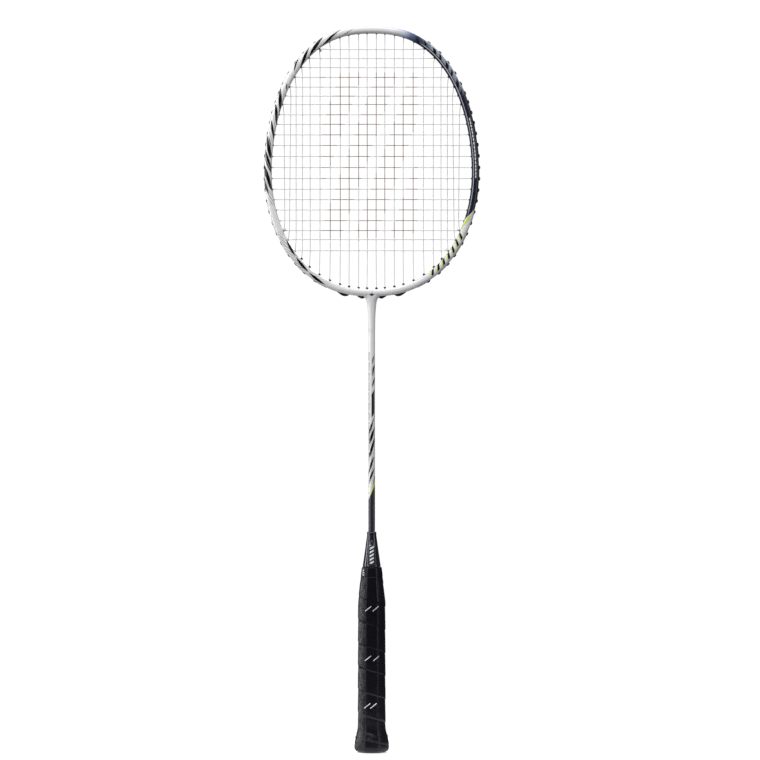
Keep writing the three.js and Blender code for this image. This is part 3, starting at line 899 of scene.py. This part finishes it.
def right_blue(look, length, wobble, drifting, across):
    """White turns to blue, then to broken navy and grey with a painted highlight along its outer edge, then to
    solid navy with lines along it; the pale inner line is partly a painted highlight.
    """
    blue = look.ramp(length, [
        (20, WHITE), (30, PALE_BLUE), (37, srgb(98, 114, 148)), (44, srgb(44, 50, 76)),
        (54, srgb(84, 90, 110)), (60, srgb(156, 161, 176)), (98, srgb(138, 144, 160)),
        (113, NAVY), (222, NAVY),
    ], HOOP_RAMP_END)
    # A painted highlight: the hoop's outer edge is painted paler here, where its chamfer would reflect the
    # light.
    painted_rim_highlight = look.both(look.above(across, 1.9, 0.5), look.within(length, 48, 108, 10))
    blue = look.mix(look.times(painted_rim_highlight, 0.75), blue, srgb(186, 190, 204))
    block_zone = look.within(length, 44, 116, 8)
    blocks = look.slashes(drifting, across, 1.2, 9.6, 1.3, 7.5, 7, block_zone, wander=0.3)
    blue = look.mix(look.both(blocks, look.below(across, 2.3, 0.3)), blue, srgb(17, 18, 30))

    band_zone = look.within(length, 50, 223, 6)
    dark_band = look.both(look.below(across, -0.7, 0.3), band_zone)
    blue = look.mix(dark_band, blue, srgb(24, 25, 38))
    # A pale line along the inner side: partly the frame's own line, partly a painted highlight of the key
    # light on the glossy inner face.
    pale_line_and_painted_highlight = look.both(look.within(across, -2.4, -1.6, 0.25), band_zone)
    line_colour = look.ramp(length, [(94, srgb(214, 218, 228)), (124, srgb(158, 163, 178))], HOOP_RAMP_END)
    blue = look.mix(pale_line_and_painted_highlight, blue, line_colour)
    tick = look.cycle(look.add(length, look.times(wobble, 0.6)), 3.4)
    broken_line = look.both(
        look.within(across, -0.4, 0.55, 0.2), look.within(length, 134, 190, 1), look.above(tick, 0.24, 0.1),
    )
    return look.mix(broken_line, blue, srgb(240, 242, 246))


def yellow_trim(look, colour, right, length, across):
    """A yellow stroke where the navy ends, then slanted bars with yellow edges and a thin grey line that is a
    painted shadow of the groove's edge.
    """
    slanted = look.add(length, look.times(across, 2.6))
    stroke = look.both(right, look.within(slanted, 224.5, 231, 0.4), look.within(across, -5, 0.6, 0.4))
    colour = look.mix(stroke, colour, NEON)
    bar_zone = look.both(right, look.within(length, 242, 292, 0.3), look.within(across, -4.0, 1.4, 0.3))
    bar = look.cycle(look.less(length, look.times(across, 0.8)), 7.2)
    colour = look.mix(look.both(bar_zone, look.within(bar, 0.12, 0.5, 0.05)), colour, INK)
    colour = look.mix(look.both(bar_zone, look.within(bar, 0.5, 0.66, 0.05)), colour, NEON)
    # A painted shadow: a thin grey line along the outer edge, where the groove's edge would cast shade.
    groove_edge_painted_shadow = look.both(right, look.within(length, 238, 305, 2), look.within(across, 2.5, 3.0, 0.15))
    return look.mix(look.times(groove_edge_painted_shadow, 0.6), colour, GREY)


def head_paint():
    look = Look("head_paint", 0.2, Specular_IOR_Level=0.3, Coat_Weight=0.15, Coat_Roughness=0.06)
    along, across = look.value_of("along"), look.value_of("across")
    right = look.above(along, 0, 0.5)
    length = look.size(along)
    wobble = look.times(look.less(look.noise(0.045, 1.0), 0.5), 7)
    drifting = look.add(length, wobble)
    colour = left_strokes(look, look.inverse(right), length, drifting, across)
    edge = look.add(length, look.times(across, 1.7))
    blue_part = look.both(right, look.below(edge, 224, 0.3))
    colour = look.mix(blue_part, colour, right_blue(look, length, wobble, drifting, across))
    colour = yellow_trim(look, colour, right, length, across)

    # A plain dark lozenge at the throat.
    lozenge = look.add(look.size(look.times(look.x, 0.5)), look.size(look.less(look.z, 425.2)))
    look.colour(look.mix(look.below(lozenge, 1.35, 0.15), colour, srgb(60, 60, 66)))
    look.rough(look.noise(0.35, 3), 0.12, 0.14)
    look.bump(look.noise(1.4, 2), 0.06, 0.12)
    return look.material


def shaft_strokes(look, arc, drifting, low_down, density, seed):
    """Bold and fine strokes on the front or the back: all round low down, only on the right above."""
    where = look.either(look.above(arc, 0.5, 1), low_down)
    across = look.times(arc, -1)
    bold = look.slashes(drifting, across, 2.5, 11.5, 1.5, 3.8, seed, density, wander=0.35)
    fine = look.slashes(drifting, across, 3.0, 5.5, 0.3, 3.4, seed + 18, density)
    slanted = look.add(look.z, look.times(arc, -1.6))
    patch = look.both(look.within(slanted, 311, 333, 1), look.within(arc, -0.1, 2.9, 0.3))
    return look.either(look.both(bold, where), patch), look.both(fine, where)


def shaft_paint():
    """White with black strokes down to a yellow edge, and dark grey below it."""
    look = Look("shaft_paint", 0.2, Specular_IOR_Level=0.35, Coat_Weight=0.2, Coat_Roughness=0.06)
    drifting = look.add(look.z, look.times(look.less(look.noise(0.06, 1.0), 0.5), 5))
    from_front, from_back = look.arcs(look.around(1), math.tau * SHAFT_RADIUS)
    density = look.ramp(look.z, [
        (247, 0), (256, 0.9), (296, 1), (306, 0.5), (312, 0.3), (338, 0.35), (346, 0.9), (362, 0.9), (372, 0),
    ], 400, colours=False)
    low_down = look.below(look.z, 310, 12)
    front_bold, front_fine = shaft_strokes(look, from_front, drifting, low_down, density, 5)
    back_bold, back_fine = shaft_strokes(look, from_back, drifting, low_down, density, 61)
    colour = look.mix(look.times(look.either(front_fine, back_fine), 0.8), WHITE, GREY)
    colour = look.mix(look.either(front_bold, back_bold), colour, INK)

    dash = look.above(look.cycle(look.z, 9.3), 0.14, 0.05)
    line = look.both(look.within(from_front, -3.3, -2.45, 0.12), look.within(look.z, 270, 373, 1), dash)
    colour = look.mix(line, colour, srgb(40, 41, 46))

    height = look.less(look.z, look.times(look.x, 2.3))
    yellow_top = look.add(244.2, look.times(look.x, 0.9))
    colour = look.mix(look.below(height, yellow_top, 0.3), colour, NEON)
    metal = look.mix(look.noise(2.5, 3), srgb(34, 32, 44), srgb(52, 50, 64))
    look.colour(look.mix(look.below(height, 241.5, 0.3), colour, metal))
    look.rough(look.noise(0.5, 3), 0.12, 0.14)
    look.bump(look.noise(1.4, 2), 0.05, 0.12)
    return look.material


def string_look():
    """Light filament, printed with plain slanted bars across the middle of the bed."""
    look = Look("string_filament", 0.32, Coat_Weight=0.3)
    fibres = look.noise(1.0, 2, look.stretched(3, 3, 3))
    colour = look.mix(fibres, srgb(206, 207, 210), srgb(232, 232, 234))
    slanted = look.less(look.x, look.times(look.less(look.z, 555), 0.35))
    bar = look.cycle(look.add(slanted, 200), 33)
    inked = look.both(
        look.within(look.z, 478, 632, 1), look.within(look.x, -47, 43, 1), look.above(bar, 0.36, 0.02),
    )
    ink = look.mix(look.above(look.noise(0.03, 2), 0.5, 0.3), srgb(150, 98, 72), srgb(106, 82, 72))
    worn = look.add(look.times(look.noise(0.4, 2), 0.4), 0.75)
    look.colour(look.mix(look.both(inked, worn), colour, ink))
    look.bump(fibres, 0.15, 0.05)
    return look.material


def black_plastic(name, tone, roughness):
    look = Look(name, roughness)
    look.colour(look.mix(look.noise(0.8, 3), tone, tuple(c * 1.5 for c in tone)))
    look.rough(look.noise(1.2, 2), 0.2, roughness - 0.1)
    look.bump(look.noise(5, 2), 0.12, 0.1)
    return look.material


def cone_look():
    """Dark blue gloss, with a black panel inside a paler rim that is painted lighter on the left as a painted
    highlight, and plain white bars down the panel.
    """
    look = Look("cone_gloss", 0.16, Coat_Weight=0.3, Coat_Roughness=0.05)
    share = look.math("DIVIDE", look.less(look.z, ARCH_FOOT_Z), ARCH_TOP_Z - ARCH_FOOT_Z, clamp=True)
    pointed = look.inverse(look.math("POWER", share, ARCH_POINT))
    tapered = look.inverse(look.times(share, ARCH_TAPER))
    width = look.times(look.times(pointed, tapered), ARCH_HALF_WIDTH)
    depth_in = look.less(width, look.size(look.x))
    in_height = look.within(look.z, ARCH_FOOT_Z, ARCH_TOP_Z, 0.2)
    panel = look.both(look.above(depth_in, 0.15, 0.15), in_height)
    on_a_face = look.above(look.size(look.y), 2.5, 0.5)
    rim = look.both(look.within(depth_in, -0.32, 0.05, 0.15), in_height, on_a_face)
    # The rim is a pale trim all round, and is painted much lighter on the left as a painted highlight of the
    # light from that side.
    rim_tint_and_left_highlight = look.add(look.times(look.below(look.x, 0.6, 1.5), 0.5), 0.22)
    body = look.mix(look.noise(0.9, 3), srgb(17, 18, 33), srgb(26, 28, 46))
    colour = look.mix(panel, body, srgb(5, 5, 8))
    colour = look.mix(look.times(rim, rim_tint_and_left_highlight), colour, srgb(150, 156, 190))
    slanted = look.less(look.z, look.times(look.x, 0.55))
    bar = look.cycle(look.less(slanted, 175), 3.4)
    bars = look.both(
        look.within(look.z, 175.6, 192.8, 0.1), look.within(look.size(look.x), -1, 1.85, 0.12),
        look.within(bar, 0.2, 0.72, 0.05), look.above(look.size(look.y), 3, 0.4),
    )
    look.colour(look.mix(bars, colour, srgb(236, 238, 242)))
    look.rough(panel, 0.35, 0.15)
    look.bump(look.noise(2.2, 2), 0.05, 0.1)
    return look.material


# Printed dashes, in pairs at three heights: (height, places round the grip from the middle of its face).
MARKS = [(134, (-3.2, 3.6)), (88, (-3.4, 4.2)), (44, (-4, 1.6))]
MARK_HALF_LENGTH, MARK_HALF_WIDTH, MARK_ANGLE = 3.6, 0.32, math.radians(40)
GRIP_GIRTH = 78


def mark(look, arc, spot, up):
    """One slanted dash, at a place round the grip and a height above it."""
    beside = look.less(arc, spot)
    cosine, sine = math.cos(MARK_ANGLE), math.sin(MARK_ANGLE)
    lengthwise = look.add(look.times(beside, cosine), look.times(up, sine))
    crosswise = look.less(look.times(beside, sine), look.times(up, cosine))
    return look.both(
        look.below(look.size(lengthwise), MARK_HALF_LENGTH, 0.4),
        look.below(look.size(crosswise), MARK_HALF_WIDTH, 0.2),
    )


def grip_look():
    """Tacky black wrap: fine pebbling, slanted ribbing, and printed silver dashes in pairs."""
    look = Look("grip_wrap_look", 0.4, Specular_IOR_Level=0.26)
    around = look.around(HANDLE_DEPTH_SHARE)
    from_front, from_back = look.arcs(around, GRIP_GIRTH)
    dashes = []
    for arc in (from_front, from_back):
        for height, spots in MARKS:
            up = look.less(look.z, height)
            dashes += [mark(look, arc, spot, up) for spot in spots]
    dashes = look.times(look.either(*dashes), look.above(look.noise(1.3, 2), 0.38, 0.2))

    tone = look.mix(look.noise(0.5, 4), srgb(9, 9, 15), srgb(17, 17, 25))
    on_strip = look.math("FRACT", look.add(look.math("DIVIDE", look.z, WRAP_PITCH), around))
    # Painted shade: the wrap is darkened along its overlapping seam, in the crease under the step.
    seam_painted_shade = look.below(look.size(look.less(on_strip, SEAM_TURN)), 0.03, 0.02)
    tone = look.mix(look.times(seam_painted_shade, 0.6), tone, srgb(5, 5, 7))
    look.colour(look.mix(dashes, tone, srgb(246, 246, 250)))

    streak = look.noise(0.9, 2, look.stretched(0.5, 0.5, 3))
    look.rough(streak, 0.18, 0.17)
    rib_turn = look.times(look.add(from_front, look.z), math.tau / 2.1)
    ribs = look.math("SINE", look.add(rib_turn, look.times(look.noise(0.25, 2), 9)))
    patchy = look.above(look.noise(0.12, 2), 0.5, 0.2)
    ribs = look.times(ribs, look.add(look.times(patchy, 0.5), 0.15))
    pebble = look.add(look.times(look.noise(2.2, 2), 0.3), look.times(streak, 0.2))
    look.bump(look.add(pebble, look.times(ribs, 0.55)), 0.4, 0.3)
    return look.material


def tape_look():
    """Glossy black film with a few plain white ticks."""
    look = Look("tape_film", 0.22, Specular_IOR_Level=0.22)
    streak = look.noise(0.8, 3, look.stretched(1, 1, 6))
    tone = look.mix(streak, srgb(9, 9, 14), srgb(18, 18, 23))
    tick = look.above(look.cycle(look.less(look.z, look.times(look.x, 0.6)), 2.1), 0.55, 0.1)
    ticks = look.both(look.within(look.x, -8.4, -7.3, 0.15), look.within(look.z, 164.4, 170.6, 0.2), tick)
    look.colour(look.mix(ticks, tone, srgb(225, 226, 230)))
    look.rough(streak, 0.25, 0.18)
    look.bump(look.noise(0.7, 3), 0.25, 0.4)
    return look.material


def wood_look():
    look = Look("core_wood", 0.6)
    grain = look.noise(0.6, 4, look.stretched(1.2, 1.2, 0.06))
    look.colour(look.mix(grain, srgb(150, 108, 66), srgb(206, 168, 120)))
    look.bump(grain, 0.3, 0.3)
    return look.material


# ---- The racket ----


def place_piece(piece, node, material):
    """Paints a piece and lets it stand for a CAD node."""
    piece.data.materials.append(material)
    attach(piece, "root")
    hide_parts(node)


grommet_black = black_plastic("grommet_nylon", srgb(20, 20, 23), 0.38)
place_piece(head_frame(), "head_frame", head_paint())
for piece, node in all_grommets():
    place_piece(piece, node, grommet_black)
filament = string_look()
cap_rubber = black_plastic("butt_rubber_look", srgb(22, 22, 24), 0.55)
for piece, node, slot, material in (
    (main_string(), "main_string", "string", filament),
    (cross_string(), "cross_string", "string", filament),
    (shaft(), "shaft", "shaft_paint", shaft_paint()),
    (cone(), "cone_cap", "cone_plastic", cone_look()),
    (tape(), "finishing_tape", "tape", tape_look()),
    (grip(), "grip_wrap", "grip", grip_look()),
    (butt_cap(), "butt_cap", "butt_rubber", cap_rubber),
):
    place_piece(piece, node, material)

# The two inner pieces keep their CAD shapes.
kept_looks = {"t_joint": black_plastic("joint_plastic", srgb(58, 59, 63), 0.5), "handle_core": wood_look()}
for node, material in kept_looks.items():
    mesh = frame["nodes"][node].data
    mesh.materials.clear()
    mesh.materials.append(material)

# ---- Floor, light and camera ----


def floor():
    mesh = bpy.data.meshes.new("floor")
    half_side, drop = 0.13, -0.0004
    corners = [(x * half_side, y * half_side, drop) for x, y in ((-1, -1), (1, -1), (1, 1), (-1, 1))]
    mesh.from_pydata(corners, [], [(0, 1, 2, 3)])
    obj = bpy.data.objects.new("floor", mesh)
    bpy.context.scene.collection.objects.link(obj)
    look = Look("floor_paper", 0.9, Emission_Strength=0.6, Emission_Color=(1, 1, 1, 1))
    look.colour(look.mix(look.noise(0.004, 2), (0.9, 0.9, 0.9), (0.92, 0.92, 0.92)))
    mesh.materials.append(look.material)


def area_light(name, power, width, height, place, aim):
    data = bpy.data.lights.new(name, "AREA")
    data.shape = "RECTANGLE"
    data.energy, data.size, data.size_y = power, width, height
    obj = bpy.data.objects.new(name, data)
    obj.location = place
    direction = np.array(aim) - np.array(place)
    obj.rotation_euler = Vector(direction).to_track_quat("-Z", "Y").to_euler()
    bpy.context.scene.collection.objects.link(obj)


def world():
    """White behind the object, and a greyer room for it to reflect."""
    made = bpy.data.worlds.new("studio")
    bpy.context.scene.world = made
    made.use_nodes = True
    tree = made.node_tree
    background = tree.nodes["Background"]
    seen = tree.nodes.new("ShaderNodeBackground")
    background.inputs["Color"].default_value = (0.1, 0.1, 0.105, 1)
    seen.inputs["Color"].default_value = (1, 1, 1, 1)
    seen.inputs["Strength"].default_value = 1.02
    path = tree.nodes.new("ShaderNodeLightPath")
    mix = tree.nodes.new("ShaderNodeMixShader")
    tree.links.new(path.outputs["Is Camera Ray"], mix.inputs[0])
    tree.links.new(background.outputs[0], mix.inputs[1])
    tree.links.new(seen.outputs[0], mix.inputs[2])
    tree.links.new(mix.outputs[0], tree.nodes["World Output"].inputs["Surface"])


def camera():
    data = bpy.data.cameras.new("camera")
    data.lens, data.sensor_width = 163, 36
    obj = bpy.data.objects.new("camera", data)
    obj.location = (0.0077, -3.2, 0.346)
    obj.rotation_euler = (math.pi / 2, 0, 0)
    bpy.context.scene.collection.objects.link(obj)
    bpy.context.scene.camera = obj


floor()
world()
area_light("key", 12, 0.9, 1.8, (-1.45, -1.05, 0.85), (0, 0, 0.38))
area_light("side", 14, 0.3, 1.8, (-1.5, 0.1, 0.6), (0, 0, 0.38))
area_light("overhead", 42, 1.6, 0.8, (-0.3, -1.3, 2.5), (0, 0, 0.38))
area_light("fill", 7, 0.6, 1.6, (1.6, -1.0, 0.8), (0, 0, 0.38))
area_light("back", 24, 1.2, 1.2, (0.3, 1.6, 1.4), (0, 0, 0.4))
camera()
bpy.context.scene.view_settings.view_transform = "Standard"
